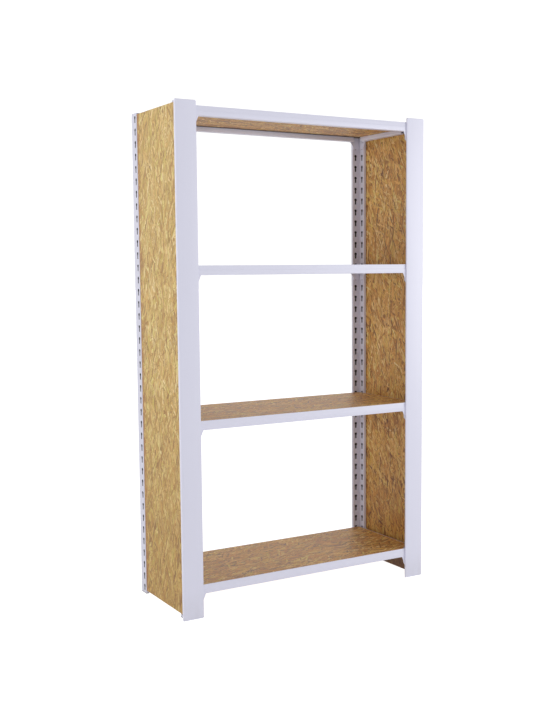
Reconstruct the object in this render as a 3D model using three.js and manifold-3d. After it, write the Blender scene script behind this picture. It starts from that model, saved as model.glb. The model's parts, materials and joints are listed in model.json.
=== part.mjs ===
// Gondola shelving unit, millimetres, +Z up, front toward -Y, origin under the centre of the unit.
// Four boxed-angle posts with keyhole slots carry four rectangles of step beams. Strand boards
// drop into the beams, strand panels close the two ends, and pan covers hide the front posts.
import * as THREE from 'three';
import { mergeGeometries, mergeVertices } from 'three/addons/utils/BufferGeometryUtils.js';
import Module from 'manifold-3d';

const wasm = await Module();
wasm.setup();

// Overall size.
const HEIGHT = 2000;
const HALF_WIDTH = 583.5;
const DEPTH = 455;

// Posts: two hollow legs at right angles, keyholes at a regular pitch.
const POST_OUTER_X = 568;
const POST_FRONT_Y = 10.5;
const LEG = 50;
const LEG_THICK = 14;
const POST_WALL = 1.5;
const SLOT_PITCH = 50;
const SLOT_COUNT = 40;
const SLOT_FROM_CORNER = 35;
const FOOT_PLATE = 2;
const FOOT_PLUG = 10;
const GAP = 0.3;

// Beams: upright lip, step for the board, closed tube below the step.
const LEVELS = [132, 782, 1382, 1982];
const BEAM_HEIGHT = 37.5;
const BEAM_DEPTH = 30;
const STEP = 18;
const LIP = 2;
const TUBE_WALL = 1.5;
const PLATE = 2;
const PLATE_HEIGHT = 69;
const PLATE_TAPER = 16;
const PLATE_TIP = 9;
const PLATE_LAP = 15;
const EAR_START = 482;
const EAR_DROP = 50;
const FRONT_BEAM_Y = 7;
const FRONT_TUBE_HALF = 502;
const FRONT_FACE_HALF = 504;
const REAR_BEAM_Y = 438.4;
const REAR_TUBE_HALF = 500;
const SIDE_BEAM_X = 552;
const SIDE_TUBE_Y = [78, 388];
const SIDE_PLATE_Y = [27.5, 437.5];
const PLATE_END = 548;

// Boards, panels and covers.
const BOARD_THICK = 17.7;
const PANEL_THICK = 10;
const PANEL_X = 568.5;
const PANEL_Z = { left: [23, 1990], right: [1, 2000] };
const PANEL_Y = { left: [3, 375], right: [27, 408] };
const COVER_WIDTH = 88.5;
const COVER_DEPTH = 10;
const COVER_RETURN = 6.4;
const COVER_SHEET = 1.2;
const COVER_BOTTOM = 0.3;
const CORNER_RELIEF = 3;
const CLIP_LEVELS = [300, 1000, 1700];
const CLIP_HEIGHT = 30;

const LOOKS = {
  post: { color: 0xcfcdd6, roughness: 0.42, metalness: 0.15 },
  beam: { color: 0xe6e5ef, roughness: 0.38, metalness: 0.15 },
  cover: { color: 0xe8e7f2, roughness: 0.36, metalness: 0.15 },
  strand: { color: 0xc29a5e, roughness: 0.72, metalness: 0.0 },
  steel: { color: 0xb9bcc2, roughness: 0.45, metalness: 0.8 },
  plastic: { color: 0x2b2b2d, roughness: 0.6, metalness: 0.0 },
};

// A prism of a 2-D outline (with optional holes) along +Z.
function prism(outline, length, holes = []) {
  const shape = new THREE.Shape(outline.map(([u, v]) => new THREE.Vector2(u, v)));
  for (const hole of holes) {
    shape.holes.push(new THREE.Path(hole.map(([u, v]) => new THREE.Vector2(u, v))));
  }
  return new THREE.ExtrudeGeometry(shape, { depth: length, bevelEnabled: false });
}

// Carries local (u, v, w) onto three world axes and keeps the surface facing outward.
function place(geometry, uAxis, vAxis, wAxis, origin) {
  const [u, v, w] = [uAxis, vAxis, wAxis].map((axis) => new THREE.Vector3(...axis));
  const matrix = new THREE.Matrix4().makeBasis(u, v, w);
  matrix.setPosition(...origin);
  return transformed(geometry, matrix);
}

function transformed(geometry, matrix) {
  let bare = geometry.clone();
  bare.deleteAttribute('normal');
  bare.deleteAttribute('uv');
  bare = mergeVertices(bare, 1e-4);
  bare.applyMatrix4(matrix);
  if (matrix.determinant() < 0) {
    const index = bare.index.array;
    for (let i = 0; i < index.length; i += 3) {
      const first = index[i];
      index[i] = index[i + 1];
      index[i + 1] = first;
    }
  }
  return bare;
}

function flipped(geometry, sx, sy) {
  return transformed(geometry, new THREE.Matrix4().makeScale(sx, sy, 1));
}

function box(x0, x1, y0, y1, z0, z1) {
  const geometry = new THREE.BoxGeometry(x1 - x0, y1 - y0, z1 - z0);
  geometry.translate((x0 + x1) / 2, (y0 + y1) / 2, (z0 + z1) / 2);
  return transformed(geometry, new THREE.Matrix4());
}

function solid(geometry) {
  return new wasm.Manifold(new wasm.Mesh({
    numProp: 3,
    vertProperties: new Float32Array(geometry.attributes.position.array),
    triVerts: new Uint32Array(geometry.index.array),
  }));
}

function join(geometries) {
  return geometries.map(solid).reduce((sum, piece) => sum.add(piece));
}

function surface(manifold) {
  const mesh = manifold.getMesh();
  const geometry = new THREE.BufferGeometry();
  const positions = new THREE.BufferAttribute(new Float32Array(mesh.vertProperties), 3);
  geometry.setAttribute('position', positions);
  geometry.setIndex(new THREE.BufferAttribute(new Uint32Array(mesh.triVerts), 1));
  return geometry;
}

const unit = new THREE.Group();
unit.name = 'gondola_shelving_unit';

function addNode(name, geometry, look) {
  const finished = geometry.clone();
  finished.translate(0, -DEPTH / 2, 0);
  const faceted = finished.toNonIndexed();
  faceted.computeVertexNormals();
  const mesh = new THREE.Mesh(faceted, new THREE.MeshStandardMaterial(LOOKS[look]));
  mesh.name = name;
  unit.add(mesh);
}

// Post: L-shaped hollow section, drawn with its outer corner at 0,0 and its legs along +X and +Y.
function angleOutline(inset) {
  const near = inset;
  const tip = LEG - inset;
  const inner = LEG_THICK - inset;
  return [[near, near], [tip, near], [tip, inner], [inner, inner], [inner, tip], [near, tip]];
}

function keyhole() {
  return [[-3.75, -14], [3.75, -14], [3.75, 1], [6.5, 6.5], [4, 14], [-4, 14], [-6.5, 6.5], [-3.75, 1]];
}

function postGeometry() {
  const bottom = FOOT_PLATE + GAP;
  const tube = prism(angleOutline(0), HEIGHT - bottom, [angleOutline(POST_WALL)]);
  const body = solid(place(tube, [1, 0, 0], [0, 1, 0], [0, 0, 1], [0, 0, bottom]));
  const cutters = [];
  const reach = POST_WALL + 1;
  const start = LEG_THICK - POST_WALL - 0.5;
  for (let i = 0; i < SLOT_COUNT; i += 1) {
    const z = SLOT_PITCH / 2 + i * SLOT_PITCH;
    const hole = prism(keyhole(), reach);
    cutters.push(place(hole, [1, 0, 0], [0, 0, 1], [0, 1, 0], [SLOT_FROM_CORNER, start, z]));
    cutters.push(place(hole, [0, 1, 0], [0, 0, 1], [1, 0, 0], [start, SLOT_FROM_CORNER, z]));
  }
  return surface(body.subtract(solid(mergeGeometries(cutters))));
}

// Foot: plate under the post with a plug standing in the hollow legs.
function footGeometry() {
  const plate = prism(angleOutline(0), FOOT_PLATE);
  const plug = prism(angleOutline(POST_WALL + GAP), FOOT_PLUG);
  const upright = [[1, 0, 0], [0, 1, 0], [0, 0, 1]];
  return surface(join([place(plate, ...upright, [0, 0, 0]), place(plug, ...upright, [0, 0, 0])]));
}

const CORNERS = {
  front_left: [1, 1],
  front_right: [-1, 1],
  rear_left: [1, -1],
  rear_right: [-1, -1],
};

const post = postGeometry();
const foot = footGeometry();
for (const [corner, [sx, sy]] of Object.entries(CORNERS)) {
  const x = -sx * POST_OUTER_X;
  const y = sy > 0 ? POST_FRONT_Y : DEPTH;
  addNode(`post_${corner}`, flipped(post, sx, sy).translate(x, y, 0), 'post');
  addNode(`foot_${corner}`, flipped(foot, sx, sy).translate(x, y, 0), 'plastic');
}

// Beam section: u runs inward from the outer face, v runs up, the top of the lip is v = 0.
const beamOutline = [
  [0, 0], [0, -BEAM_HEIGHT], [BEAM_DEPTH, -BEAM_HEIGHT], [BEAM_DEPTH, -STEP], [LIP, -STEP], [LIP, 0],
];
const beamVoid = [
  [TUBE_WALL, -STEP - TUBE_WALL],
  [BEAM_DEPTH - TUBE_WALL, -STEP - TUBE_WALL],
  [BEAM_DEPTH - TUBE_WALL, -BEAM_HEIGHT + TUBE_WALL],
  [TUBE_WALL, -BEAM_HEIGHT + TUBE_WALL],
];

// Upright plate of a beam end: s runs along the beam toward the post, and below the tube the plate
// narrows to the width of the leg that it hooks into, whose edge is at s = tip.
function endPlate(from, tip, to) {
  return [
    [from, 0], [to, 0], [to, -PLATE_HEIGHT], [tip, -PLATE_HEIGHT], [tip, -PLATE_HEIGHT + PLATE_TIP],
    [tip - PLATE_TAPER, -BEAM_HEIGHT], [from, -BEAM_HEIGHT],
  ];
}

// Two hooks that enter the keyholes of a post leg, at height v below the beam top.
const HOOKS = [[-17, -10], [-67, -60]];
const HOOK_HALF = 2.5;
const HOOK_REACH = 2.9;

function frontBeam() {
  const tube = prism(beamOutline, 2 * FRONT_TUBE_HALF, [beamVoid]);
  const parts = [place(tube, [0, 1, 0], [0, 0, 1], [1, 0, 0], [-FRONT_TUBE_HALF, FRONT_BEAM_Y, 0])];
  const flangeY = POST_FRONT_Y + LEG_THICK + GAP;
  const earBottom = -BEAM_HEIGHT - EAR_DROP;
  const ear = [
    [EAR_START - PLATE, 0], [FRONT_FACE_HALF, 0], [FRONT_FACE_HALF, earBottom],
    [EAR_START, -BEAM_HEIGHT], [EAR_START - PLATE, -BEAM_HEIGHT],
  ];
  const web = [
    [FRONT_BEAM_Y, 0], [flangeY + PLATE, 0], [flangeY + PLATE, -PLATE_HEIGHT],
    [FRONT_BEAM_Y, earBottom],
  ];
  const webX = FRONT_FACE_HALF - PLATE;
  const flange = [
    [webX, 0], [PLATE_END, 0], [PLATE_END, -PLATE_HEIGHT], [webX, -PLATE_HEIGHT],
  ];
  for (const side of [-1, 1]) {
    const half = [
      place(prism(ear, LIP), [1, 0, 0], [0, 0, 1], [0, 1, 0], [0, FRONT_BEAM_Y, 0]),
      place(prism(web, PLATE), [0, 1, 0], [0, 0, 1], [1, 0, 0], [webX, 0, 0]),
      place(prism(flange, PLATE), [1, 0, 0], [0, 0, 1], [0, 1, 0], [0, flangeY, 0]),
    ];
    const hookX = POST_OUTER_X - SLOT_FROM_CORNER;
    for (const [low, high] of HOOKS) {
      const y0 = flangeY - HOOK_REACH;
      half.push(box(hookX - HOOK_HALF, hookX + HOOK_HALF, y0, flangeY + 0.5, low, high));
    }
    parts.push(...half.map((piece) => flipped(piece, side, 1)));
  }
  return surface(join(parts));
}

function rearBeam() {
  const tube = prism(beamOutline, 2 * REAR_TUBE_HALF, [beamVoid]);
  const parts = [place(tube, [0, -1, 0], [0, 0, 1], [1, 0, 0], [-REAR_TUBE_HALF, REAR_BEAM_Y, 0])];
  const legInner = DEPTH - LEG_THICK;
  const plateY = REAR_BEAM_Y - 0.4;
  const legTip = POST_OUTER_X - LEG + 1;
  const plate = endPlate(REAR_TUBE_HALF - PLATE_LAP, legTip, PLATE_END);
  for (const side of [-1, 1]) {
    const half = [
      place(prism(plate, legInner - GAP - plateY), [1, 0, 0], [0, 0, 1], [0, 1, 0], [0, plateY, 0]),
    ];
    const hookX = POST_OUTER_X - SLOT_FROM_CORNER;
    for (const [low, high] of HOOKS) {
      const y1 = legInner - GAP + HOOK_REACH;
      half.push(box(hookX - HOOK_HALF, hookX + HOOK_HALF, plateY + 0.5, y1, low, high));
    }
    parts.push(...half.map((piece) => flipped(piece, side, 1)));
  }
  return surface(join(parts));
}

function sideBeam() {
  const [front, rear] = SIDE_TUBE_Y;
  const tube = prism(beamOutline, rear - front, [beamVoid]);
  const parts = [place(tube, [-1, 0, 0], [0, 0, 1], [0, 1, 0], [SIDE_BEAM_X, front, 0])];
  const legInner = POST_OUTER_X - LEG_THICK;
  const plateX = SIDE_BEAM_X - 0.4;
  const thick = legInner - GAP - plateX;
  const frontTip = POST_FRONT_Y + LEG - 1;
  const rearTip = DEPTH - LEG + 1;
  const [frontEnd, rearEnd] = SIDE_PLATE_Y;
  const frontPlate = endPlate(-front - PLATE_LAP, -frontTip, -frontEnd);
  const rearPlate = endPlate(rear - PLATE_LAP, rearTip, rearEnd);
  parts.push(place(prism(frontPlate, thick), [0, -1, 0], [0, 0, 1], [1, 0, 0], [plateX, 0, 0]));
  parts.push(place(prism(rearPlate, thick), [0, 1, 0], [0, 0, 1], [1, 0, 0], [plateX, 0, 0]));
  for (const hookY of [POST_FRONT_Y + SLOT_FROM_CORNER, DEPTH - SLOT_FROM_CORNER]) {
    for (const [low, high] of HOOKS) {
      const x1 = legInner - GAP + HOOK_REACH;
      parts.push(box(plateX + 0.5, x1, hookY - HOOK_HALF, hookY + HOOK_HALF, low, high));
    }
  }
  return surface(join(parts));
}

// Board: fills the rectangle inside the lips, front corners notched round the beam ends.
function boardGeometry() {
  const side = SIDE_BEAM_X - LIP - 0.5;
  const front = FRONT_BEAM_Y + LIP + GAP;
  const rear = REAR_BEAM_Y - LIP - 0.4;
  const notchX = HALF_WIDTH - COVER_WIDTH + 2;
  const notchY = POST_FRONT_Y + LEG_THICK + GAP + PLATE + 0.5;
  const outline = [
    [-notchX, front], [notchX, front], [notchX, notchY], [side, notchY],
    [side, rear], [-side, rear], [-side, notchY], [-notchX, notchY],
  ];
  const sheet = prism(outline, BOARD_THICK);
  return place(sheet, [1, 0, 0], [0, 1, 0], [0, 0, 1], [0, 0, -BOARD_THICK]);
}

// Standoff: small channel between a side beam and the end panel.
function standoffGeometry() {
  const inner = SIDE_BEAM_X + GAP;
  const outer = PANEL_X - GAP;
  const outline = [
    [inner, 210], [outer, 210], [outer, 240], [outer - 1.5, 240],
    [outer - 1.5, 211.5], [inner + 1.5, 211.5], [inner + 1.5, 240], [inner, 240],
  ];
  return place(prism(outline, 24), [1, 0, 0], [0, 1, 0], [0, 0, 1], [0, 0, -34]);
}

const beams = { front: frontBeam(), rear: rearBeam(), side: sideBeam() };
const board = boardGeometry();
const standoff = standoffGeometry();
LEVELS.forEach((level, i) => {
  const n = i + 1;
  addNode(`beam_front_${n}`, beams.front.clone().translate(0, 0, level), 'beam');
  addNode(`beam_rear_${n}`, beams.rear.clone().translate(0, 0, level), 'beam');
  addNode(`beam_left_${n}`, flipped(beams.side, -1, 1).translate(0, 0, level), 'beam');
  addNode(`beam_right_${n}`, beams.side.clone().translate(0, 0, level), 'beam');
  addNode(`board_${n}`, board.clone().translate(0, 0, level), 'strand');
  addNode(`standoff_left_${n}`, flipped(standoff, -1, 1).translate(0, 0, level), 'steel');
  addNode(`standoff_right_${n}`, standoff.clone().translate(0, 0, level), 'steel');
});

// End panels stand outboard of the posts, just inside the outer edge of the covers.
for (const side of ['left', 'right']) {
  const [front, rear] = PANEL_Y[side];
  const [low, high] = PANEL_Z[side];
  const panel = box(PANEL_X, PANEL_X + PANEL_THICK, front, rear, low, high);
  addNode(`panel_${side}`, flipped(panel, side === 'left' ? -1 : 1, 1), 'strand');
}

// Cover: shallow pan folded from sheet, its four corners relieved where the folds meet.
function coverGeometry() {
  const outer = HALF_WIDTH;
  const inner = HALF_WIDTH - COVER_WIDTH;
  const channel = [
    [inner, 0], [outer, 0], [outer, COVER_DEPTH], [outer - COVER_SHEET, COVER_DEPTH],
    [outer - COVER_SHEET, COVER_SHEET], [inner + COVER_SHEET, COVER_SHEET],
    [inner + COVER_SHEET, COVER_RETURN], [inner, COVER_RETURN],
  ];
  const length = HEIGHT - COVER_BOTTOM;
  const folded = prism(channel, length);
  let pan = solid(place(folded, [1, 0, 0], [0, 1, 0], [0, 0, 1], [0, 0, COVER_BOTTOM]));
  for (const [low, high] of [[0, COVER_BOTTOM + CORNER_RELIEF], [HEIGHT - CORNER_RELIEF, HEIGHT + 1]]) {
    pan = pan.subtract(solid(box(inner - 1, outer + 1, COVER_SHEET, COVER_DEPTH + 1, low, high)));
  }
  for (const base of [COVER_BOTTOM, HEIGHT - COVER_SHEET]) {
    const flange = box(
      inner + CORNER_RELIEF, outer - CORNER_RELIEF, COVER_SHEET / 2, COVER_DEPTH,
      base, base + COVER_SHEET,
    );
    pan = pan.add(solid(flange));
  }
  return surface(pan);
}

// Clip: hat-shaped spring between the back of a cover and the front of its post.
function clipGeometry() {
  const near = COVER_SHEET + GAP;
  const far = POST_FRONT_Y - GAP;
  const outline = [
    [518, near], [531.2, near], [531.2, far - 1.2], [554.8, far - 1.2], [554.8, near], [568, near],
    [568, near + 1.2], [556, near + 1.2], [556, far], [530, far], [530, near + 1.2], [518, near + 1.2],
  ];
  return place(prism(outline, CLIP_HEIGHT), [1, 0, 0], [0, 1, 0], [0, 0, 1], [0, 0, -CLIP_HEIGHT / 2]);
}

const cover = coverGeometry();
const clip = clipGeometry();
for (const [side, sx] of [['left', -1], ['right', 1]]) {
  addNode(`cover_${side}`, flipped(cover, sx, 1), 'cover');
  CLIP_LEVELS.forEach((level, i) => {
    addNode(`clip_${side}_${i + 1}`, flipped(clip, sx, 1).translate(0, 0, level), 'steel');
  });
}

export default unit;
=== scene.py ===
"""Looks of the gondola shelving unit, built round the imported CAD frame."""

import json
import math

import bpy
import bmesh
from mathutils import Matrix, Vector
from mathutils.geometry import tessellate_polygon


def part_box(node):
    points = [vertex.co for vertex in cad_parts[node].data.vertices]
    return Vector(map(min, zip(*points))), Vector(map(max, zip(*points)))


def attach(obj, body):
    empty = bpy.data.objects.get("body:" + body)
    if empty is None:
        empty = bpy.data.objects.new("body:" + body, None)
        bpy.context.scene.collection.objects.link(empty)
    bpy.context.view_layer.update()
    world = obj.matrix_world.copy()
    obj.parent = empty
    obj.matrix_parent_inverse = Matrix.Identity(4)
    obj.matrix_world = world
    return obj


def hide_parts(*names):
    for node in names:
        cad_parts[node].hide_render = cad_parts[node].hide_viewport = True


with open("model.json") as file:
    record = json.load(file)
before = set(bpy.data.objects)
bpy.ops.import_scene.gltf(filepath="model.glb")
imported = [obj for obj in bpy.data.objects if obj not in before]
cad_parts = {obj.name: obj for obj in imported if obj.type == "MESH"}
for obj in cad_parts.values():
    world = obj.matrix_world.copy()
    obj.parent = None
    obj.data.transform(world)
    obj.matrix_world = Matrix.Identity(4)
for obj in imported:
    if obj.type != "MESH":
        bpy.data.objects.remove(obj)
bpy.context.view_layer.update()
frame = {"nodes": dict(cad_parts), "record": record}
record_slots = {s["node"]: s["material_slot"] for s in frame["record"]["subparts"]}
node_body = {n: b for b, ns in frame["record"]["behaviour"]["bodies"].items() for n in ns}
MM = 0.001
SHELVES = range(1, 5)


def new_object(name, data):
    """Object that is linked to the scene."""
    obj = bpy.data.objects.new(name, data)
    bpy.context.scene.collection.objects.link(obj)
    return obj


# ---------------------------------------------------------------- node helpers

class Nodes:
    """Small wrapper that adds shader nodes and links them."""

    def __init__(self, name):
        self.material = bpy.data.materials.new(name)
        self.material.use_nodes = True
        self.tree = self.material.node_tree
        self.tree.nodes.clear()
        self.out = self.tree.nodes.new("ShaderNodeOutputMaterial")
        self.shader = self.tree.nodes.new("ShaderNodeBsdfPrincipled")
        self.link(self.shader.outputs[0], self.out.inputs["Surface"])

    def link(self, a, b):
        self.tree.links.new(a, b)

    def add(self, kind, inputs=None, **props):
        node = self.tree.nodes.new(kind)
        for key, value in props.items():
            setattr(node, key, value)
        for key, value in (inputs or {}).items():
            if isinstance(value, bpy.types.NodeSocket):
                self.link(value, node.inputs[key])
            else:
                node.inputs[key].default_value = value
        return node

    def math(self, operation, a, b=0.0, c=0.0, clamp=False):
        node = self.add("ShaderNodeMath", {0: a, 1: b, 2: c}, operation=operation, use_clamp=clamp)
        return node.outputs[0]

    def noise(self, vector, scale, detail=2.0, rough=0.5):
        node = self.add("ShaderNodeTexNoise", {
            "Vector": vector, "Scale": scale, "Detail": detail, "Roughness": rough,
        })
        return node.outputs["Fac"]

    def cells(self, vector, feature="F1"):
        """Flat Voronoi cells: F1 has a random colour in each, DISTANCE_TO_EDGE the way to its border."""
        return self.add("ShaderNodeTexVoronoi", {"Vector": vector, "Scale": 1.0, "Randomness": 0.95},
                        voronoi_dimensions="2D", feature=feature).outputs

    def scaled(self, vector, scale, offset=(0, 0, 0), rotation=(0, 0, 0)):
        return self.add("ShaderNodeMapping", {
            "Vector": vector, "Location": offset, "Rotation": rotation, "Scale": scale,
        }).outputs[0]

    def ramp(self, value, stops):
        node = self.add("ShaderNodeValToRGB", {"Fac": value})
        ramp = node.color_ramp
        while len(ramp.elements) < len(stops):
            ramp.elements.new(0.5)
        for element, (place, colour) in zip(ramp.elements, stops):
            element.position = place
            element.color = (*colour, 1.0)
        return node.outputs["Color"]

    def mix(self, fac, a, b):
        """Mixes two colours. Sockets 0, 6 and 7 are the factor and the colours, and output 2 the result."""
        node = self.add("ShaderNodeMix", data_type="RGBA")
        for index, value in ((0, fac), (6, a), (7, b)):
            if isinstance(value, bpy.types.NodeSocket):
                self.link(value, node.inputs[index])
            elif index == 0:
                node.inputs[0].default_value = value
            else:
                node.inputs[index].default_value = (*value, 1.0)
        return node.outputs[2]

    def vector(self, operation, a, b):
        """Vector maths on two vectors, or on a vector and a number for SCALE."""
        second = "Scale" if operation == "SCALE" else 1
        return self.add("ShaderNodeVectorMath", {0: a, second: b}, operation=operation).outputs[0]

    def split(self, vector):
        return self.add("ShaderNodeSeparateXYZ", {0: vector}).outputs

    def join(self, x, y, z):
        return self.add("ShaderNodeCombineXYZ", {0: x, 1: y, 2: z}).outputs[0]

    def split_colour(self, colour):
        return self.add("ShaderNodeSeparateColor", {0: colour}).outputs

    def position(self):
        return self.add("ShaderNodeTexCoord").outputs["Object"]

    def bump(self, height, strength, distance, normal=None):
        inputs = {"Height": height, "Strength": strength, "Distance": distance}
        if normal is not None:
            inputs["Normal"] = normal
        return self.add("ShaderNodeBump", inputs).outputs[0]


def srgb(r, g, b):
    """Linear colour of an 8-bit display colour."""
    def one(v):
        v /= 255
        return v / 12.92 if v <= 0.04045 else ((v + 0.055) / 1.055) ** 2.4
    return (one(r), one(g), one(b))


# ---------------------------------------------------------------- materials

DUST = (0.36, 0.33, 0.30)


def paint(name, colour, rough, scuffs=0.5):
    """Powder coat: orange peel, uneven gloss, faint rub marks and dust low down."""
    n = Nodes(name)
    pos = n.position()
    darker = tuple(c * 0.975 for c in colour)
    lighter = tuple(min(1, c * 1.02) for c in colour)
    rubbed = tuple(c * 0.62 for c in colour)

    cloud = n.noise(n.scaled(pos, (1.3, 1.3, 0.5)), 2.2, 3.0)
    tone = n.mix(cloud, darker, lighter)
    streak = n.noise(n.scaled(pos, (60, 60, 7)), 1.0, 4.0, 0.6)
    rub = n.math("MULTIPLY", n.math("GREATER_THAN", streak, 0.70), 0.10 * scuffs)
    tone = n.mix(rub, tone, rubbed)

    height = n.split(pos)[2]
    low = n.math("MULTIPLY_ADD", height, -9.0, 1.0, clamp=True)
    grime_and_shade = n.math("MULTIPLY", low, n.noise(n.scaled(pos, (30, 30, 18)), 1.0, 4.0))
    tone = n.mix(n.math("MULTIPLY", grime_and_shade, 0.28), tone, DUST)
    n.link(tone, n.shader.inputs["Base Color"])

    gloss = n.noise(n.scaled(pos, (9, 9, 4)), 1.0, 3.0)
    n.link(n.math("MULTIPLY_ADD", gloss, 0.16, rough - 0.08), n.shader.inputs["Roughness"])
    peel = n.noise(pos, 420.0, 2.0, 0.55)
    wave = n.noise(n.scaled(pos, (14, 14, 3)), 1.0, 1.0)
    soft = n.bump(wave, 0.10, 0.004)
    n.link(n.bump(peel, 0.10, 0.0004, soft), n.shader.inputs["Normal"])
    n.shader.inputs["Coat Weight"].default_value = 0.12
    n.shader.inputs["Coat Roughness"].default_value = 0.25
    return n.material


# Angle, length, width (metres) and share left bare for each layer of strands, lowest layer first.
STRAND_LAYERS = [
    (0.05, 0.120, 0.0260, 0.00), (0.95, 0.085, 0.0170, 0.45), (-0.70, 0.090, 0.0150, 0.50),
    (1.35, 0.060, 0.0120, 0.66), (-0.22, 0.100, 0.0140, 0.50), (0.48, 0.075, 0.0100, 0.60),
    (-1.05, 0.055, 0.0080, 0.74), (0.15, 0.080, 0.0070, 0.66), (-0.42, 0.045, 0.0050, 0.72),
]
LAYER_RISE = 0.10
FLAKE_RISE = 0.7
# Painted shade along each flake's border: the slope of its fade and the share of tone left right at the
# border.
BORDER_SLOPE = 11.0
BORDER_SHADE = 0.45
GRAIN_SHARE = 0.52
FLAKE_SHARE = 0.92
TONE_OFFSET = -0.22

# Angle of each set of dark streaks, and the noise level above which it shows.
STREAKS = ((0.18, 0.615), (-0.55, 0.635), (0.95, 0.64))

# Colours of the three palettes, from gaps and bark to the palest strand, and their places. The right
# panel's deeper, more saturated palette is partly painted shade and the left panel's paler one partly
# painted sheen, on what is one kind of board.
TONE_PLACES = (0.02, 0.20, 0.42, 0.64, 0.92)
STRAW = [srgb(*c) for c in (
    (140, 98, 46), (190, 152, 84), (206, 176, 108), (220, 195, 134), (238, 221, 172))]
HONEY = [srgb(*c) for c in (
    (78, 38, 14), (190, 132, 58), (224, 173, 92), (238, 201, 127), (247, 224, 170))]
OAK = [srgb(*c) for c in (
    (86, 42, 20), (188, 130, 70), (220, 168, 98), (236, 197, 126), (250, 230, 176))]
WARMTH = [(0.05, (0.90, 0.96, 0.66)), (0.40, (1.0, 1.0, 1.0)), (0.70, (1.0, 0.88, 0.74)),
          (0.95, (0.86, 0.86, 0.90))]

# Both panels turn browner from one metre down to the floor.
LOWER_TINT = (0.76, 0.67, 0.49)
LOWER_TINT_SLOPE = 1.2
# Painted shade on the right panel's inner face near the floor.
FOOT_SHADE_BROWN = srgb(70, 34, 10)
SEAT_DARK = srgb(52, 32, 24)
SEAT_START = 0.15625
SEAT_SLOPE = 160.0
RIM_BROWN = srgb(150, 88, 42)


def strand_layers(n, base, spin, seed):
    """Stacks the layers of flakes and gives each point's tone, warmth and height, with painted shade along
    each flake's border.
    """
    surface = None
    for i, (angle, length, width, bare) in enumerate(STRAND_LAYERS):
        turned = n.scaled(base, (1, 1, 1), (0.37 * i + seed, 0.71 * i, 0), (0, 0, angle + spin))
        cells = n.scaled(turned, (1 / length, 1 / width, 1))
        shown, tone_chance, warm_chance = n.split_colour(n.cells(cells)["Color"])
        border = n.cells(cells, "DISTANCE_TO_EDGE")["Distance"]
        lip = n.math("MULTIPLY", border, BORDER_SLOPE, clamp=True)
        grain = n.noise(n.scaled(turned, (22, 520, 1)), 1.0, 3.0, 0.65)
        own = n.math("MULTIPLY_ADD", grain, GRAIN_SHARE, n.math("MULTIPLY", tone_chance, FLAKE_SHARE))
        # Painted shade darkens each flake towards its border.
        shade = n.math("MULTIPLY_ADD", lip, 1 - BORDER_SHADE, BORDER_SHADE)
        own = n.math("MULTIPLY", n.math("ADD", own, TONE_OFFSET), shade)
        bulge = n.math("MULTIPLY", warm_chance, lip)
        raised = n.math("MULTIPLY_ADD", bulge, FLAKE_RISE, LAYER_RISE * i)
        layer = n.join(own, warm_chance, raised)
        if surface is None:
            surface = layer
        else:
            surface = n.mix(n.math("GREATER_THAN", shown, bare), surface, layer)
    return n.split(surface)


def dark_streaks(n, base, spin, seed):
    """Thin dark streaks: bark, resin and the gaps between strands."""
    dark = None
    for k, (angle, limit) in enumerate(STREAKS):
        turned = n.scaled(base, (1, 1, 1), (1.7 * k + seed, 0.4 * k, 0), (0, 0, angle + spin))
        streak = n.noise(n.scaled(turned, (26, 190, 1)), 1.0, 2.0, 0.6)
        found = n.math("MULTIPLY", n.math("SUBTRACT", streak, limit), 22.0, clamp=True)
        dark = found if dark is None else n.math("MAXIMUM", dark, found)
    return dark


def panel_low_tint_and_shade(n, colour, height, thick, grime_and_shade):
    """Browner from one metre down, and painted shade on the right panel's inner face near the floor."""
    foot = n.math("MULTIPLY_ADD", height, -LOWER_TINT_SLOPE, LOWER_TINT_SLOPE, clamp=True)
    colour = n.vector("MULTIPLY", colour, n.mix(foot, (1.0, 1.0, 1.0), LOWER_TINT))
    low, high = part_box("panel_right")
    inner = n.math("LESS_THAN", thick, (low.x + high.x) / 2)
    # Painted shade on the inner face: full up to about 8 cm, gone by about 14 cm.
    foot_shade = n.math("MULTIPLY", inner, n.math("MULTIPLY_ADD", height, -16.0, 2.3, clamp=True))
    return n.mix(n.math("MULTIPLY", foot_shade, grime_and_shade), colour, FOOT_SHADE_BROWN)


def dark_seat(n, colour, across):
    """Shadow under the rear edge of a shelf, where it meets its beam."""
    facing = n.split(n.add("ShaderNodeNewGeometry").outputs["Normal"])[2]
    below = n.math("LESS_THAN", facing, -0.5)
    near_beam = n.math("MULTIPLY_ADD", across, SEAT_SLOPE, -SEAT_SLOPE * SEAT_START, clamp=True)
    seat = n.math("MULTIPLY", below, near_beam)
    return n.mix(n.math("MULTIPLY", seat, 0.88), colour, SEAT_DARK)


def ragged_rim(n, colour, flat, across, depth_edge):
    """Brown band with a ragged border along the panel's rear edge."""
    ragged = n.math("MULTIPLY_ADD", n.noise(n.scaled(flat, (45, 90, 1)), 1.0, 3.0), 0.11, -0.040)
    inset = n.math("SUBTRACT", n.math("SUBTRACT", depth_edge, across), ragged)
    rim = n.math("MULTIPLY_ADD", inset, -90.0, 0.6, clamp=True)
    return n.mix(n.math("MULTIPLY", rim, 0.62), colour, RIM_BROWN)


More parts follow.
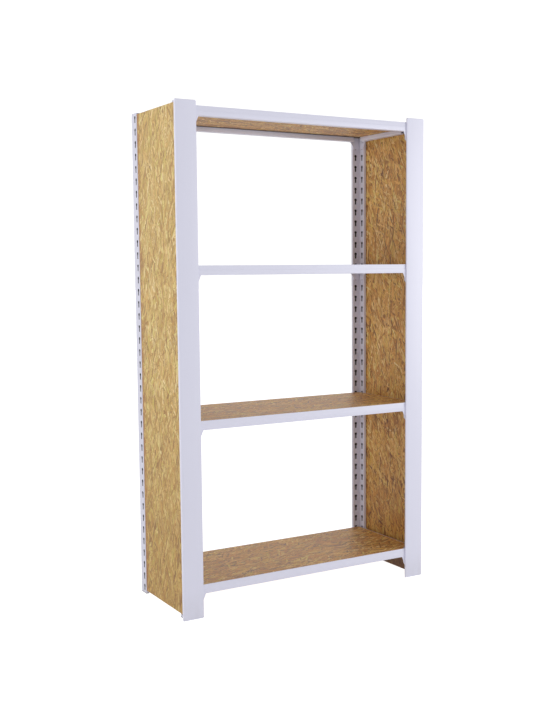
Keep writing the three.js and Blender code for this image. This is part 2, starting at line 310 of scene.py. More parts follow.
def strand_board(name, plane, tones, spin=0.0, seed=0.0, depth_edge=None, grime_and_shade=0.0):
    """Oriented strand board: overlapping long flakes, each with its own tone, grain and thin border of
    painted shade.
    """
    n = Nodes(name)
    x, y, z = n.split(n.position())
    along, across, thick = (z, y, x) if plane == "upright" else (x, y, z)
    flat = n.join(along, n.math("MULTIPLY_ADD", thick, 7.31, across), seed)
    wobble = n.add("ShaderNodeTexNoise", {"Vector": flat, "Scale": 34.0, "Detail": 2.0}).outputs["Color"]
    centred = n.vector("SUBTRACT", wobble, (0.5, 0.5, 0.5))
    base = n.vector("ADD", flat, n.vector("SCALE", centred, 0.008))

    tone, warm, height = strand_layers(n, base, spin, seed)
    dark = dark_streaks(n, base, spin, seed)
    tone = n.math("MULTIPLY", tone, n.math("MULTIPLY_ADD", dark, -0.85, 1.0), clamp=True)
    colour = n.ramp(tone, list(zip(TONE_PLACES, tones)))
    ruddy = n.math("MULTIPLY", n.math("GREATER_THAN", warm, 0.72), 0.34)
    colour = n.mix(ruddy, colour, tones[1])
    colour = n.vector("MULTIPLY", colour, n.ramp(warm, WARMTH))
    patch = n.noise(n.scaled(flat, (3, 5, 1)), 1.0, 3.0)
    colour = n.mix(n.math("MULTIPLY", patch, 0.30), colour, tones[1])
    if plane == "upright":
        colour = panel_low_tint_and_shade(n, colour, along, thick, grime_and_shade)
    else:
        colour = dark_seat(n, colour, across)
    if depth_edge is not None:
        colour = ragged_rim(n, colour, flat, across, depth_edge)
    n.link(colour, n.shader.inputs["Base Color"])

    n.link(n.math("MULTIPLY_ADD", tone, 0.20, 0.40), n.shader.inputs["Roughness"])
    fine = n.noise(n.scaled(flat, (90, 420, 1)), 1.0, 3.0)
    relief = n.math("MULTIPLY_ADD", fine, 0.25, height)
    n.link(n.bump(relief, 0.35, 0.0011), n.shader.inputs["Normal"])
    return n.material


def strand_edge(name, thin_axis):
    """Cut edge of the board: thin pressed layers, darker than the face, with small voids."""
    n = Nodes(name)
    pos = n.position()
    scale = [55.0, 55.0, 55.0]
    scale[thin_axis] = 900.0
    layer = n.noise(n.scaled(pos, tuple(scale)), 1.0, 4.0, 0.65)
    pits = n.noise(n.scaled(pos, tuple(s * 2.1 for s in scale)), 1.0, 2.0)
    colour = n.ramp(layer, [
        (0.25, srgb(96, 58, 34)), (0.45, srgb(150, 104, 66)), (0.60, srgb(178, 132, 86)),
        (0.80, srgb(205, 164, 112)),
    ])
    hole = n.math("GREATER_THAN", pits, 0.66)
    colour = n.mix(n.math("MULTIPLY", hole, 0.7), colour, srgb(70, 42, 26))
    n.link(colour, n.shader.inputs["Base Color"])
    n.shader.inputs["Roughness"].default_value = 0.82
    relief = n.math("SUBTRACT", layer, n.math("MULTIPLY", hole, 0.6))
    n.link(n.bump(relief, 0.6, 0.0012), n.shader.inputs["Normal"])
    return n.material


def zinc(name):
    """Zinc plate: spangle, light brushing and dulled patches."""
    n = Nodes(name)
    pos = n.position()
    spangle = n.add("ShaderNodeTexVoronoi", {"Vector": pos, "Scale": 240.0})
    chance = n.split_colour(spangle.outputs["Color"])[0]
    tone = n.mix(chance, (0.50, 0.51, 0.53), (0.68, 0.69, 0.71))
    dull = n.noise(n.scaled(pos, (40, 40, 40)), 1.0, 3.0)
    tone = n.mix(n.math("MULTIPLY", dull, 0.5), tone, (0.42, 0.42, 0.43))
    n.link(tone, n.shader.inputs["Base Color"])
    n.shader.inputs["Metallic"].default_value = 0.9
    n.link(n.math("MULTIPLY_ADD", dull, 0.3, 0.28), n.shader.inputs["Roughness"])
    brush = n.noise(n.scaled(pos, (900, 900, 40)), 1.0, 2.0)
    n.link(n.bump(brush, 0.15, 0.0003), n.shader.inputs["Normal"])
    return n.material


def moulded(name):
    """Moulded plastic foot: fine texture, scuffed and dusty toward the floor."""
    n = Nodes(name)
    pos = n.position()
    speck = n.noise(pos, 700.0, 3.0)
    height = n.split(pos)[2]
    dust = n.math("MULTIPLY_ADD", height, -160.0, 0.7, clamp=True)
    dusty = n.math("MULTIPLY", dust, n.noise(n.scaled(pos, (80, 80, 80)), 1.0, 3.0))
    tone = n.mix(dusty, (0.025, 0.025, 0.027), (0.16, 0.15, 0.14))
    n.link(tone, n.shader.inputs["Base Color"])
    n.link(n.math("MULTIPLY_ADD", speck, 0.25, 0.45), n.shader.inputs["Roughness"])
    n.link(n.bump(speck, 0.25, 0.0003), n.shader.inputs["Normal"])
    return n.material


def dark_hollow_shade(name):
    """Painted shade for the inside of a post and the cut edges of its keyholes: near black with a faint
    brown mottle, so the hollow and the keyholes look as dark as shaded holes.
    """
    n = Nodes(name)
    pos = n.position()
    shade_mottle = n.noise(n.scaled(pos, (50, 50, 20)), 1.0, 4.0, 0.6)
    tone = n.mix(shade_mottle, (0.010, 0.010, 0.011), (0.030, 0.024, 0.020))
    n.link(tone, n.shader.inputs["Base Color"])
    n.link(n.math("MULTIPLY_ADD", shade_mottle, 0.3, 0.6), n.shader.inputs["Roughness"])
    n.link(n.bump(shade_mottle, 0.2, 0.0004), n.shader.inputs["Normal"])
    return n.material


WHITE = srgb(226, 226, 243)
# The posts' coat is a little greyer than the white: partly a greyer coat, partly painted shade for the rear
# posts inside the unit.
POST_GREY = srgb(212, 211, 226)
MATERIALS = {
    "cover_paint": paint("cover_paint", WHITE, 0.36),
    "beam_paint": paint("beam_paint", WHITE, 0.38),
    "post_paint": paint("post_paint", POST_GREY, 0.44, 0.8),
    "zinc_steel": zinc("zinc_steel"),
    "foot_plastic": moulded("foot_plastic"),
    # Second post material: painted shade for the hollow inside and the keyholes' cut edges.
    "post_hollow_shade": dark_hollow_shade("post_hollow_shade"),
}
BOARD_FACE = strand_board("strand_board_level", "level", OAK, seed=0.3)
BOARD_EDGE = strand_edge("strand_edge_level", 2)
LEFT_PANEL_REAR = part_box("panel_left")[1].y
PANEL_FACES = {
    # The right panel's deeper palette is partly painted shade, the left panel's paler one partly painted
    # sheen.
    "left": strand_board("strand_board_left", "upright", STRAW, 0.25, 1.7, depth_edge=LEFT_PANEL_REAR),
    # The right panel gets painted shade on its inner face near the floor.
    "right": strand_board("strand_board_right", "upright", HONEY, -0.08, 4.1, grime_and_shade=0.8),
}
PANEL_EDGE = strand_edge("strand_edge_upright", 0)


# ---------------------------------------------------------------- mesh helpers

SHARP_ANGLE = 38
BEVEL_ANGLE = 50


def fillet(points, radii, segments=3):
    """Rounds the corners of a closed outline. A radius of 0 keeps the corner sharp."""
    out = []
    count = len(points)
    for i, (p, r) in enumerate(zip(points, radii)):
        p = Vector(p)
        if r <= 0:
            out.append(p)
            continue
        a = (Vector(points[i - 1]) - p).normalized()
        b = (Vector(points[(i + 1) % count]) - p).normalized()
        half = a.angle(b) / 2
        reach = r / math.tan(half)
        start, end = p + a * reach, p + b * reach
        centre = p + (a + b).normalized() * (r / math.sin(half))
        for k in range(segments + 1):
            t = k / segments
            spoke = (start - centre).lerp(end - centre, t).normalized()
            out.append(centre + spoke * r)
    return out


class Shell:
    """Collects the solids of one piece, in millimetres, and turns them into an object."""

    def __init__(self):
        self.bm = bmesh.new()

    def sweep(self, outline, origin, u, v, w, length, holes=()):
        """Extrudes a 2-D outline with holes along w; u, v, w are world directions."""
        origin, u, v, w = map(Vector, (origin, u, v, w))
        loops = [[Vector(p) for p in loop] for loop in (outline, *holes)]
        ends = []
        for depth in (0.0, length):
            ends.append([[self.bm.verts.new(origin + u * p.x + v * p.y + w * depth) for p in loop]
                         for loop in loops])
        for near, far in zip(*ends):
            for i in range(len(near)):
                j = (i + 1) % len(near)
                self.bm.faces.new((near[i], near[j], far[j], far[i]))
        flat = [[Vector((p.x, p.y, 0)) for p in loop] for loop in loops]
        triangles = tessellate_polygon(flat)
        for end in ends:
            verts = [vert for loop in end for vert in loop]
            for triangle in triangles:
                self.bm.faces.new([verts[k] for k in triangle])

    def block(self, low, high):
        (x0, y0, z0), (x1, y1, z1) = low, high
        outline = [(x0, y0), (x1, y0), (x1, y1), (x0, y1)]
        self.sweep(outline, (0, 0, z0), (1, 0, 0), (0, 1, 0), (0, 0, 1), z1 - z0)

    def mirror_x(self):
        """Adds the mirror image of everything so far."""
        everything = self.bm.verts[:] + self.bm.edges[:] + self.bm.faces[:]
        copy = bmesh.ops.duplicate(self.bm, geom=everything)
        for vert in copy["geom"]:
            if isinstance(vert, bmesh.types.BMVert):
                vert.co.x = -vert.co.x

    def piece(self, name, nodes, materials, place=(0, 0, 0), flip=(1, 1), bevel=0.0, recalc=True):
        """Makes the object. flip mirrors along X or Y, and place, in millimetres, then moves it."""
        bm = self.bm.copy()
        if recalc:
            bmesh.ops.recalc_face_normals(bm, faces=bm.faces)
        for vert in bm.verts:
            vert.co = Vector((vert.co.x * flip[0], vert.co.y * flip[1], vert.co.z))
            vert.co = (vert.co + Vector(place)) * MM
        if flip[0] * flip[1] < 0:
            bmesh.ops.reverse_faces(bm, faces=bm.faces)
        mesh = bpy.data.meshes.new(name)
        bm.to_mesh(mesh)
        bm.free()
        mesh.shade_smooth()
        mesh.set_sharp_from_angle(angle=math.radians(SHARP_ANGLE))
        obj = new_object(name, mesh)
        for material in materials:
            mesh.materials.append(material)
        if bevel:
            edge = obj.modifiers.new("edge", "BEVEL")
            edge.width = bevel * MM
            edge.segments = 2
            edge.limit_method = "ANGLE"
            edge.angle_limit = math.radians(BEVEL_ANGLE)
        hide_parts(*nodes)
        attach(obj, node_body[nodes[0]])
        return obj


def corner(node):
    """Lowest and highest corner of a CAD node in millimetres."""
    low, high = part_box(node)
    return low / MM, high / MM


# ---------------------------------------------------------------- posts

LEG = 50.0
LEG_THICK = 14.0
WALL = 1.5
LEG_TIP = LEG - WALL
FOLD = 2.2
INSIDE_FOLD = 1.2
FOLD_STEPS = 3
SLOT_PITCH = 50.0
SLOT_FROM_CORNER = 35.0
HEAD_RADIUS = 6.5
HEAD_HEIGHT = 7.5
HEAD_STEPS = 13
NECK_HALF = 3.75
SLOT_BOTTOM = -14.0
NECK_FOOT_HALF = 2.1
NECK_FOOT_RISE = 1.6
HOLE_MIDDLE = 3.0
WEB_HALF = 0.4
WEB_SHORT = 1.0
JOIN = 0.1

# Sides of the post's outline that carry keyholes, with the direction of their leg.
SLOT_SIDES = {0: (1, 0), 2: (1, 0), 3: (0, 1), 5: (0, 1)}


def keyhole():
    """Round head over a narrower neck with a rounded foot, counter-clockwise."""
    meet = -math.acos(NECK_HALF / HEAD_RADIUS)
    shoulder = SLOT_BOTTOM + NECK_FOOT_RISE
    points = [(-NECK_FOOT_HALF, SLOT_BOTTOM), (NECK_FOOT_HALF, SLOT_BOTTOM), (NECK_HALF, shoulder)]
    sweep = math.pi - 2 * meet
    for k in range(HEAD_STEPS + 1):
        angle = meet + sweep * k / HEAD_STEPS
        points.append((HEAD_RADIUS * math.cos(angle), HEAD_HEIGHT + HEAD_RADIUS * math.sin(angle)))
    points.append((-NECK_HALF, shoulder))
    return points


def slot_cell(left, right):
    """Splits the rectangle round a keyhole: gives the hole, and for each of its edges the points
    of the rectangle that face it."""
    hole = keyhole()
    eye = Vector((0, HOLE_MIDDLE))
    low, high = -SLOT_PITCH / 2, SLOT_PITCH / 2
    corners = [(right, low), (right, high), (-left, high), (-left, low)]

    def hit(point):
        ray = Vector(point) - eye
        best = math.inf
        for axis, bound in ((0, -left), (0, right), (1, low), (1, high)):
            if abs(ray[axis]) > 1e-9:
                t = (bound - eye[axis]) / ray[axis]
                if t > 0:
                    best = min(best, t)
        return eye + ray * best

    def bearing(point):
        return math.atan2(point[1] - eye.y, point[0] - eye.x)

    rings = []
    count = len(hole)
    for i in range(count):
        j = (i + 1) % count
        a, b = hit(hole[i]), hit(hole[j])
        start = bearing(a)
        span = (bearing(b) - start) % (2 * math.pi)
        between = [c for c in corners if 1e-6 < (bearing(c) - start) % (2 * math.pi) < span - 1e-6]
        rings.append((i, j, [b, *reversed(between), a]))
    return hole, rings


def post_outlines():
    """Outer and inner outline of the boxed angle, its outer corner at 0,0 and legs along +X and +Y."""
    deep = LEG_THICK - WALL
    outer = [(0, 0), (LEG, 0), (LEG, LEG_THICK), (LEG_THICK, LEG_THICK), (LEG_THICK, LEG), (0, LEG)]
    inner = [(WALL, WALL), (LEG_TIP, WALL), (LEG_TIP, deep), (deep, deep), (deep, LEG_TIP), (WALL, LEG_TIP)]
    tight = FOLD - WALL
    wide = INSIDE_FOLD + WALL
    return [fillet(outer, [FOLD, FOLD, FOLD, INSIDE_FOLD, FOLD, FOLD], FOLD_STEPS),
            fillet(inner, [tight, tight, tight, wide, tight, tight], FOLD_STEPS)]


def plain_walls(bm, outlines, bottom, top):
    """Folds and walls without keyholes, and the sheet's edge at both ends."""
    count = len(outlines[0])
    for layer, loop in enumerate(outlines):
        for i in range(count):
            side, step = divmod(i, FOLD_STEPS + 1)
            if step == FOLD_STEPS and side in SLOT_SIDES:
                continue
            a, b = loop[i], loop[(i + 1) % count]
            quad = [bm.verts.new((p.x, p.y, z)) for p, z in ((a, bottom), (b, bottom), (b, top), (a, top))]
            # The inner layer takes the second material, painted shade for the hollow.
            bm.faces.new(quad if layer == 0 else quad[::-1]).material_index = layer
    outer, inner = outlines
    for z in (bottom, top):
        for i in range(count):
            j = (i + 1) % count
            quad = [bm.verts.new((p.x, p.y, z)) for p in (outer[i], outer[j], inner[j], inner[i])]
            bm.faces.new(quad[::-1] if z == bottom else quad)


def slotted_wall(bm, a, b, leg, layer, bottom, first_slot, slots):
    """Flat wall from a to b with a column of keyholes. The outer layer also gets their cut edges. The inner
    layer and the cut edges take the post's second material, painted shade.
    """
    along = (b - a).normalized()
    outward = Vector((along.y, -along.x))
    reach = (Vector(leg) * SLOT_FROM_CORNER - a).dot(along)
    hole, rings = slot_cell(reach, (b - a).length - reach)

    def vert(point, z, depth=0.0):
        place = a + along * (reach + point[0]) - outward * depth
        return bm.verts.new((*place, z))

    for k in range(slots):
        z = first_slot + k * SLOT_PITCH
        floor_z = bottom if k == 0 else z - SLOT_PITCH / 2
        mouth = [vert(p, z + p[1]) for p in hole]
        for i, j, outside in rings:
            border = [vert(p, max(floor_z, z + p[1])) for p in outside]
            cell = [mouth[i], mouth[j], *border]
            bm.faces.new(cell[::-1] if layer == 0 else cell).material_index = layer
        if layer == 0:
            # Cut edges in the painted shade material, dark as the hollow behind them.
            deep = [vert(p, z + p[1], WALL) for p in hole]
            for i in range(len(hole)):
                j = (i + 1) % len(hole)
                bm.faces.new((mouth[i], mouth[j], deep[j], deep[i])).material_index = 1


def shade_webs(shell, bottom, top):
    """Painted shade: a dark web halfway through each hollow leg closes the view behind the keyholes, so
    they look like dark shaded holes.
    """
    walls = set(shell.bm.faces)
    near, far = LEG_THICK / 2 - WEB_HALF, LEG_THICK / 2 + WEB_HALF
    shell.block((WALL, near, bottom + WEB_SHORT), (LEG_TIP, far, top - WEB_SHORT))
    shell.block((near, far + JOIN, bottom + WEB_SHORT), (far, LEG_TIP, top - WEB_SHORT))
    webs = [face for face in shell.bm.faces if face not in walls]
    bmesh.ops.recalc_face_normals(shell.bm, faces=webs)
    for face in webs:
        face.material_index = 1


def post_shell(bottom, top, first_slot):
    """Boxed angle folded from sheet, with keyholes on both faces of both legs."""
    shell = Shell()
    outlines = post_outlines()
    slots = round((top - first_slot + SLOT_PITCH / 2) / SLOT_PITCH)
    plain_walls(shell.bm, outlines, bottom, top)
    for side, leg in SLOT_SIDES.items():
        start = side * (FOLD_STEPS + 1) + FOLD_STEPS
        for layer, loop in enumerate(outlines):
            a, b = loop[start], loop[(start + 1) % len(loop)]
            slotted_wall(shell.bm, a, b, leg, layer, bottom, first_slot, slots)
    bmesh.ops.remove_doubles(shell.bm, verts=shell.bm.verts, dist=0.001)
    shade_webs(shell, bottom, top)
    return shell


POSTS = {
    "front_left": (1, 1), "front_right": (-1, 1), "rear_left": (1, -1), "rear_right": (-1, -1),
}
post_low, post_high = corner("post_front_left")
post = post_shell(post_low.z, post_high.z, SLOT_PITCH / 2)
for key, flip in POSTS.items():
    low, high = corner("post_" + key)
    place = (low.x if flip[0] > 0 else high.x, low.y if flip[1] > 0 else high.y, 0)
    # The second material paints shade inside the hollow and on the keyholes' cut edges.
    post.piece("post_" + key + "_steel", ["post_" + key],
               [MATERIALS["post_paint"], MATERIALS["post_hollow_shade"]], place, flip, recalc=False)


# ---------------------------------------------------------------- beams

BEAM_HEIGHT = 37.5
BEAM_DEPTH = 30.0
STEP = 18.0
TUBE_WALL = 1.5
LIP = 2.0
CREASE = 0.6
CREASE_TOP = STEP - 1.2
CREASE_FOOT = STEP + 1.6
FRONT_TUBE_HALF = 502.0
REAR_TUBE_HALF = 500.0
REAR_SETBACK = 2.6
SIDE_SETBACK = 2.0

# The front beams' ears, which end in a wedge below the tube.
EAR_START = 482.0
EAR_DROP = 50.0
EAR_WEB_SHORT = 3.0

# End plates: from the tube to the post's leg, with the clearance to the leg and the sunk weld.
PLATE = 2.0
PLATE_DROP = 69.0
PLATE_ON_TUBE = 15.0
PLATE_TAPER = 16.0
PLATE_TONGUE = 9.0
PLATE_FROM_CORNER = 20.0
LEG_EDGE = 1.0
CLEARANCE = 0.3
WELD = 0.4

# Side beams: distances from the legs' edges to the tube, and from the corners to the plates.
SIDE_TUBE_FRONT = 17.5
SIDE_TUBE_REAR = 17.0
SIDE_PLATE_FRONT = 17.0
SIDE_PLATE_REAR = 17.5

HOOK_BASE = -17.0
HOOK_HEIGHT = 7.0
HOOK_HALF = 2.5
HOOK_REACH = 2.6
HOOK_SUNK = 0.5


def step_section():
    """Outer outline of a step beam: u inward from its face, v up from 0 at the top of its lip."""
    points = [
        (CREASE, 0), (CREASE, -CREASE_TOP), (0, -CREASE_FOOT), (0, -BEAM_HEIGHT),
        (BEAM_DEPTH, -BEAM_HEIGHT), (BEAM_DEPTH, -STEP), (LIP, -STEP), (LIP, 0),
    ]
    return fillet(points, [0.6, 0.8, 0.8, 2.0, 2.0, 2.0, 0.6, 0.6])


def tube_void():
    """Hollow of the closed tube below the step."""
    low, high = -BEAM_HEIGHT + TUBE_WALL, -STEP - TUBE_WALL
    near, far = TUBE_WALL, BEAM_DEPTH - TUBE_WALL
    return fillet([(near, high), (far, high), (far, low), (near, low)], [0.8] * 4)


def hooks(shell, low_corner, high_corner):
    """Two formed hooks at the heights of neighbouring keyholes."""
    for base in (HOOK_BASE, HOOK_BASE - SLOT_PITCH):
        shell.block((*low_corner, base), (*high_corner, base + HOOK_HEIGHT))


def front_beam(face_y, leg_inner, post_x):
    """Beam whose face runs on into a wedge-shaped ear, then folds back to the post leg."""
    shell = Shell()
    shell.sweep(step_section(), (0, face_y, 0), (0, 1, 0), (0, 0, 1), (1, 0, 0), FRONT_TUBE_HALF,
                [tube_void()])
    inner, outer = FRONT_TUBE_HALF - JOIN, FRONT_TUBE_HALF + PLATE
    on_tube = -BEAM_HEIGHT + TUBE_WALL + JOIN
    ear = fillet(
        [(inner, 0), (outer, 0), (outer, -BEAM_HEIGHT - EAR_DROP), (EAR_START, -BEAM_HEIGHT - JOIN),
         (EAR_START, on_tube), (inner, on_tube)],
        [0, 0.8, 2.0, 0, 0, 0])
    shell.sweep(ear, (0, face_y, 0), (1, 0, 0), (0, 0, 1), (0, 1, 0), PLATE)

    flange = leg_inner + CLEARANCE
    web = [(face_y + PLATE, 0), (flange + WELD, 0), (flange + WELD, -PLATE_DROP),
           (face_y + PLATE, -BEAM_HEIGHT - EAR_DROP + EAR_WEB_SHORT)]
    shell.sweep(web, (FRONT_TUBE_HALF, 0, 0), (0, 1, 0), (0, 0, 1), (1, 0, 0), PLATE)
    tip = post_x - PLATE_FROM_CORNER
    plate = fillet(
        [(FRONT_TUBE_HALF, 0), (tip, 0), (tip, -PLATE_DROP), (FRONT_TUBE_HALF, -PLATE_DROP)],
        [1.0, 5.0, 5.0, 1.0])
    shell.sweep(plate, (0, flange, 0), (1, 0, 0), (0, 0, 1), (0, 1, 0), PLATE)
    slot_x = post_x - SLOT_FROM_CORNER
    hooks(shell, (slot_x - HOOK_HALF, leg_inner - HOOK_REACH), (slot_x + HOOK_HALF, flange + HOOK_SUNK))
    shell.mirror_x()
    return shell


def end_plate(start, tip, end):
    """Plate outline from the tube at start to its far end, narrowed below to the leg edge at tip."""
    inward = 1 if end > start else -1
    return fillet(
        [(start, -1.0), (end, 0), (end, -PLATE_DROP), (tip, -PLATE_DROP), (tip, -PLATE_DROP + PLATE_TONGUE),
         (tip - PLATE_TAPER * inward, -BEAM_HEIGHT), (start, -BEAM_HEIGHT)],
        [1.0, 5.0, 5.0, 2.0, 8.0, 4.0, 0])


def rear_beam(face_y, leg_inner, post_x):
    """Beam with a flat plate at each end."""
    shell = Shell()
    shell.sweep(step_section(), (0, face_y, 0), (0, -1, 0), (0, 0, 1), (1, 0, 0), REAR_TUBE_HALF,
                [tube_void()])
    near = face_y - WELD
    plate = end_plate(REAR_TUBE_HALF - PLATE_ON_TUBE, post_x - LEG + LEG_EDGE, post_x - PLATE_FROM_CORNER)
    shell.sweep(plate, (0, near, 0), (1, 0, 0), (0, 0, 1), (0, 1, 0), leg_inner - CLEARANCE - near)
    slot_x = post_x - SLOT_FROM_CORNER
    hooks(shell, (slot_x - HOOK_HALF, near + HOOK_SUNK), (slot_x + HOOK_HALF, leg_inner + HOOK_REACH))
    shell.mirror_x()
    return shell


def side_beam(face_x, leg_inner, front_corner, rear_corner):
    """Beam along the depth; front_corner and rear_corner are the outer faces of the posts."""
    shell = Shell()
    front_edge, rear_edge = front_corner + LEG, rear_corner - LEG
    start, end = front_edge + SIDE_TUBE_FRONT, rear_edge - SIDE_TUBE_REAR
    shell.sweep(step_section(), (face_x, start, 0), (-1, 0, 0), (0, 0, 1), (0, 1, 0), end - start,
                [tube_void()])
    near = face_x - WELD
    front_plate = end_plate(start + PLATE_ON_TUBE, front_edge - LEG_EDGE, front_corner + SIDE_PLATE_FRONT)
    rear_plate = end_plate(end - PLATE_ON_TUBE, rear_edge + LEG_EDGE, rear_corner - SIDE_PLATE_REAR)
    for plate in (front_plate, rear_plate):
        shell.sweep(plate, (near, 0, 0), (0, 1, 0), (0, 0, 1), (1, 0, 0), leg_inner - CLEARANCE - near)
    for slot_y in (front_corner + SLOT_FROM_CORNER, rear_corner - SLOT_FROM_CORNER):
        hooks(shell, (near + HOOK_SUNK, slot_y - HOOK_HALF), (leg_inner + HOOK_REACH, slot_y + HOOK_HALF))
    return shell


half_depth = -corner("cover_left")[0].y
post_x = -post_low.x
side_inner = post_x - LEG_THICK
front_corner = post_low.y + half_depth
rear_corner = corner("post_rear_left")[1].y + half_depth
rear_inner = rear_corner - LEG_THICK
front_face = corner("beam_front_1")[0].y + half_depth
beams = {
    "front": front_beam(front_face, front_corner + LEG_THICK, post_x),
    "rear": rear_beam(rear_inner - REAR_SETBACK, rear_inner, post_x),
    "right": side_beam(side_inner - SIDE_SETBACK, side_inner, front_corner, rear_corner),
}
for n in SHELVES:
    for side in ("front", "rear", "left", "right"):
        node = "beam_%s_%d" % (side, n)
        top = corner(node)[1].z
        source = beams["right" if side == "left" else side]
        source.piece(node + "_steel", [node], [MATERIALS["beam_paint"]], (0, -half_depth, top),
                     (-1 if side == "left" else 1, 1), bevel=0.35)


# ---------------------------------------------------------------- covers

COVER_SHEET = 1.2
COVER_FOLD = 2.0
COVER_RELIEF = 3.0
COVER_RETURN = 6.4


def cover_shell(inner, outer, depth, bottom, top):
    """Pan folded from sheet: rounded folds and an open relief at each corner."""
    shell = Shell()
    channel = fillet(
        [(inner, 0), (outer, 0), (outer, depth), (outer - COVER_SHEET, depth),
         (outer - COVER_SHEET, COVER_SHEET), (inner + COVER_SHEET, COVER_SHEET),
         (inner + COVER_SHEET, COVER_RETURN), (inner, COVER_RETURN)],
        [COVER_FOLD, COVER_FOLD, 0.3, 0.3, 0.8, 0.8, 0.3, 0.3], 4)
    shell.sweep(channel, (0, 0, bottom + COVER_RELIEF), (1, 0, 0), (0, 1, 0), (0, 0, 1),
                top - bottom - 2 * COVER_RELIEF)
    fold = fillet(
        [(0, COVER_RELIEF), (0, 0), (depth, 0), (depth, COVER_SHEET), (COVER_SHEET, COVER_SHEET),
         (COVER_SHEET, COVER_RELIEF)],
        [0, COVER_FOLD, 0.3, 0.3, 0.8, 0], 4)
    start = inner + COVER_RELIEF
    width = outer - inner - 2 * COVER_RELIEF
    for z, up in ((bottom, 1), (top, -1)):
        shell.sweep(fold, (start, 0, z), (0, 1, 0), (0, 0, up), (1, 0, 0), width)
    return shell


cover_low, cover_high = corner("cover_right")
cover = cover_shell(cover_low.x, cover_high.x, cover_high.y - cover_low.y, cover_low.z, cover_high.z)
for side, mirror in (("left", -1), ("right", 1)):
    cover.piece("cover_%s_pan" % side, ["cover_" + side], [MATERIALS["cover_paint"]],
                (0, cover_low.y, 0), (mirror, 1))


# ---------------------------------------------------------------- boards and panels

# The boards' front corners are cut back between these places, clear of the covers and posts.
NOTCH_HALF = 497.0
NOTCH_DEPTH = 18.0


def edge_faces(obj, thin_axis):
    """Gives the cut edges of a board the second material."""
    for face in obj.data.polygons:
        face.material_index = 0 if abs(face.normal[thin_axis]) > 0.7 else 1


for n in SHELVES:
    node = "board_%d" % n
    low, high = corner(node)
    notch_y = low.y + NOTCH_DEPTH
    outline = [(-NOTCH_HALF, low.y), (NOTCH_HALF, low.y), (NOTCH_HALF, notch_y), (high.x, notch_y),
               (high.x, high.y), (-high.x, high.y), (-high.x, notch_y), (-NOTCH_HALF, notch_y)]
    shell = Shell()
    shell.sweep(outline, (0, 0, low.z), (1, 0, 0), (0, 1, 0), (0, 0, 1), high.z - low.z)
    board = shell.piece(node + "_strand", [node], [BOARD_FACE, BOARD_EDGE], bevel=0.6)
    edge_faces(board, 2)

for side in ("left", "right"):
    node = "panel_" + side
    low, high = corner(node)
    shell = Shell()
    shell.sweep([(low.y, low.z), (high.y, low.z), (high.y, high.z), (low.y, high.z)],
                (low.x, 0, 0), (0, 1, 0), (0, 0, 1), (1, 0, 0), high.x - low.x)
    panel = shell.piece(node + "_strand", [node], [PANEL_FACES[side], PANEL_EDGE], bevel=0.8)
    edge_faces(panel, 0)

# The CAD nodes that no piece replaces show their own mesh.
for name, node in frame["nodes"].items():
    if not node.hide_render:
        node.data.materials.clear()
        node.data.materials.append(MATERIALS[record_slots[name]])


# ---------------------------------------------------------------- stage, lights, camera

FLOOR_BOUNCE = 0.48
WORLD_FILL = 0.44
WORLD_SEEN = 1.1
CAMERA_PLACE = (-2.2258, -3.7948, 1.3697)
CAMERA_YAW = math.radians(-30.795)
CAMERA_PITCH = math.radians(-5.607)
CAMERA_ROLL = math.radians(-0.430)
CAMERA_LENS = 51.95
CAMERA_SHIFT = (-0.0169, 0.0165)


def make_stage():
    """Matt floor that the camera sees as pure white, and that lights the object less than that."""
    n = Nodes("stage_floor")
    pos = n.position()
    mottled = n.noise(n.scaled(pos, (2, 2, 2)), 1.0, 3.0)
    n.link(n.mix(mottled, (0.50, 0.50, 0.505), (0.52, 0.52, 0.525)), n.shader.inputs["Base Color"])
    n.shader.inputs["Roughness"].default_value = 0.9
    n.shader.inputs["Specular IOR Level"].default_value = 0.1
    n.shader.inputs["Emission Color"].default_value = (1, 1, 1, 1)
    seen = n.add("ShaderNodeLightPath").outputs["Is Camera Ray"]
    glow = n.math("MULTIPLY_ADD", seen, 1 - FLOOR_BOUNCE, FLOOR_BOUNCE)
    n.link(glow, n.shader.inputs["Emission Strength"])
    bm = bmesh.new()
    bmesh.ops.create_grid(bm, x_segments=8, y_segments=8, size=60.0)
    mesh = bpy.data.meshes.new("floor")
    bm.to_mesh(mesh)
    bm.free()
    mesh.materials.append(n.material)
    floor = new_object("floor", mesh)
    floor.location.z = -0.0005


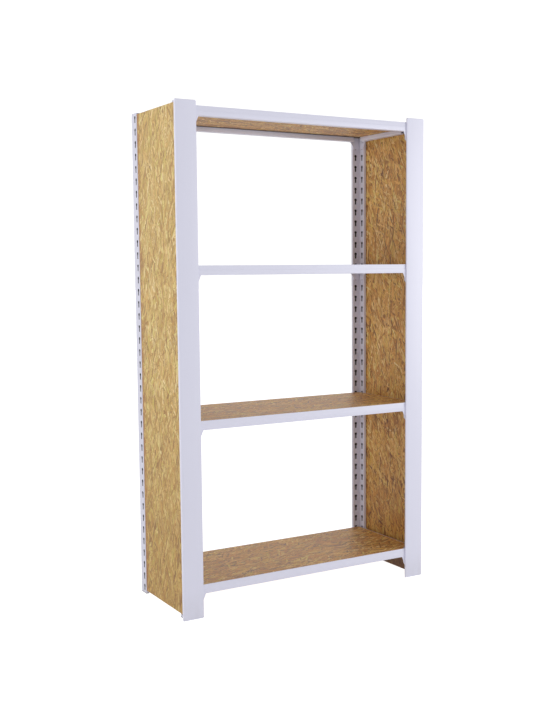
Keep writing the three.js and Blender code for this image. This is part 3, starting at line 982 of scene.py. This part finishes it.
def make_world():
    """White surroundings, weaker as a light than they look."""
    world = bpy.data.worlds.new("studio")
    bpy.context.scene.world = world
    world.use_nodes = True
    tree = world.node_tree
    tree.nodes.clear()
    path = tree.nodes.new("ShaderNodeLightPath")
    strength = tree.nodes.new("ShaderNodeMapRange")
    strength.inputs["From Min"].default_value = 1.0
    strength.inputs["From Max"].default_value = 0.0
    strength.inputs["To Min"].default_value = WORLD_FILL
    strength.inputs["To Max"].default_value = WORLD_SEEN
    background = tree.nodes.new("ShaderNodeBackground")
    background.inputs["Color"].default_value = (1, 1, 1, 1)
    output = tree.nodes.new("ShaderNodeOutputWorld")
    tree.links.new(path.outputs["Is Diffuse Ray"], strength.inputs["Value"])
    tree.links.new(strength.outputs[0], background.inputs["Strength"])
    tree.links.new(background.outputs[0], output.inputs[0])


def area_light(name, place, aim, side, power):
    """Square area light that the camera doesn't see."""
    data = bpy.data.lights.new(name, "AREA")
    data.shape = "RECTANGLE"
    data.size = side
    data.size_y = side
    data.energy = power
    light = new_object(name, data)
    light.location = place
    light.rotation_mode = "QUATERNION"
    light.rotation_quaternion = (Vector(aim) - Vector(place)).to_track_quat("-Z", "Y")
    light.visible_camera = False


def make_camera():
    """Camera of the photo: it looks along +Y, turned by yaw, pitch and roll."""
    data = bpy.data.cameras.new("camera")
    camera = new_object("camera", data)
    bpy.context.scene.camera = camera
    level = Vector((-math.sin(CAMERA_YAW), math.cos(CAMERA_YAW), 0))
    forward = level * math.cos(CAMERA_PITCH) + Vector((0, 0, math.sin(CAMERA_PITCH)))
    side = Vector((math.cos(CAMERA_YAW), math.sin(CAMERA_YAW), 0))
    up = side.cross(forward)
    rolled_side = side * math.cos(CAMERA_ROLL) + up * math.sin(CAMERA_ROLL)
    rolled_up = up * math.cos(CAMERA_ROLL) - side * math.sin(CAMERA_ROLL)
    turn = Matrix((rolled_side, rolled_up, -forward)).transposed().to_4x4()
    camera.matrix_world = Matrix.Translation(CAMERA_PLACE) @ turn
    data.sensor_width = 36.0
    data.lens = CAMERA_LENS
    data.shift_x, data.shift_y = CAMERA_SHIFT
    data.clip_start = 0.05
    data.clip_end = 200


make_stage()
make_world()
area_light("key_left", (-3.4, -5.2, 1.7), (0, 0, 1.0), 2.4, 31)
area_light("key_right", (3.3, -3.1, 1.5), (0.3, 0, 1.0), 2.0, 52)
area_light("side_left", (-4.2, 0.4, 1.6), (-0.58, 0, 1.1), 2.4, 50)
make_camera()

bpy.context.scene.view_settings.view_transform = "Standard"
bpy.context.scene.view_settings.look = "None"
